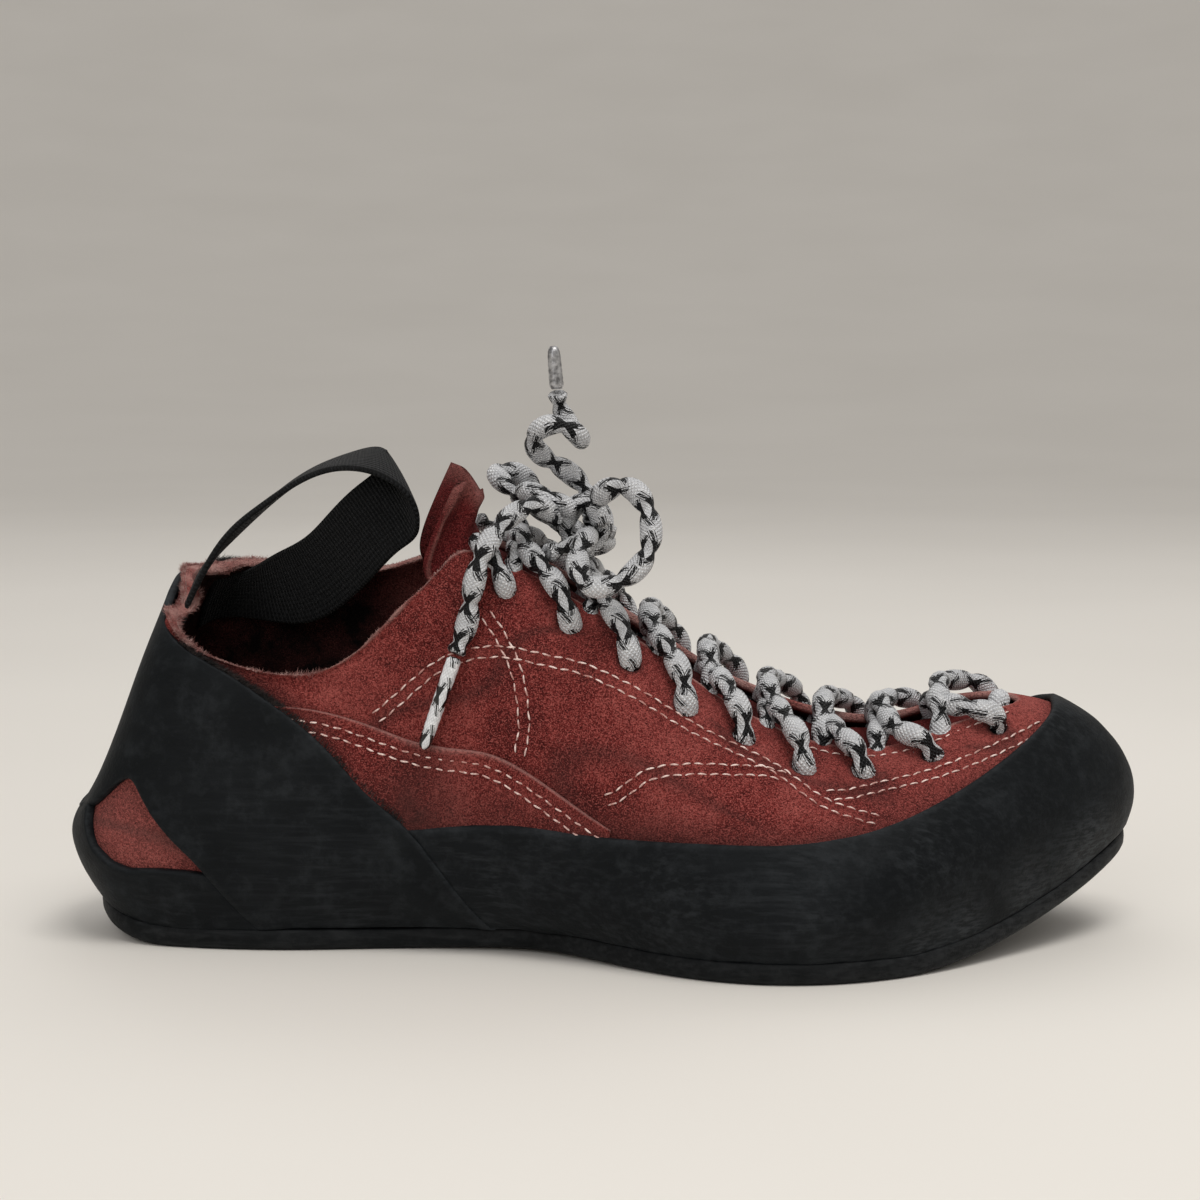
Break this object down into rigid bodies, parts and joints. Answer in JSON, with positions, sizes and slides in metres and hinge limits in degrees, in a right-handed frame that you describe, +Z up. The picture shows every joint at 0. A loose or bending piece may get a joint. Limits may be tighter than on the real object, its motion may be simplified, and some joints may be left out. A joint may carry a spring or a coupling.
{
  "type": "climbing shoe",
  "caption": "Laced red suede climbing shoe for the right foot, with a black rubber sole, toe rand and heel band, a heel pull loop and tied laces to the toe.",
  "frame": {"origin": "on the floor under the middle of the heel's flat spot, in the plane through the back of the heel along the shoe", "axes": "+X from heel to toe, +Z up, -Y towards the outer side of the shoe"},
  "size_m": [0.277, 0.1001, 0.1512],
  "materials": {
    "suede_red": "dark red suede leather",
    "suede_tongue": "smoother red suede leather",
    "rand_rubber": "matt black rubber sheet",
    "sole_rubber": "matt black sole rubber",
    "insole_lining": "dark lining",
    "webbing_black": "ribbed black webbing",
    "lace_grey": "light grey braided lace",
    "aglet_grey": "clear grey plastic tip"
  },
  "bodies": {
    "root": {"outsole": "sole_rubber", "insole": "insole_lining", "upper": "suede_red", "tongue": "suede_tongue", "toe_rand": "rand_rubber", "heel_band": "rand_rubber", "heel_rand": "rand_rubber", "side_panel": "suede_red", "pull_loop": "webbing_black", "lace_crossings": "lace_grey", "lace_knot": "lace_grey", "lace_near_end": "lace_grey", "lace_far_end": "lace_grey", "lace_near_bow": "lace_grey", "lace_far_bow": "lace_grey", "aglet_near": "aglet_grey", "aglet_far": "aglet_grey"}
  },
  "joints": []
}
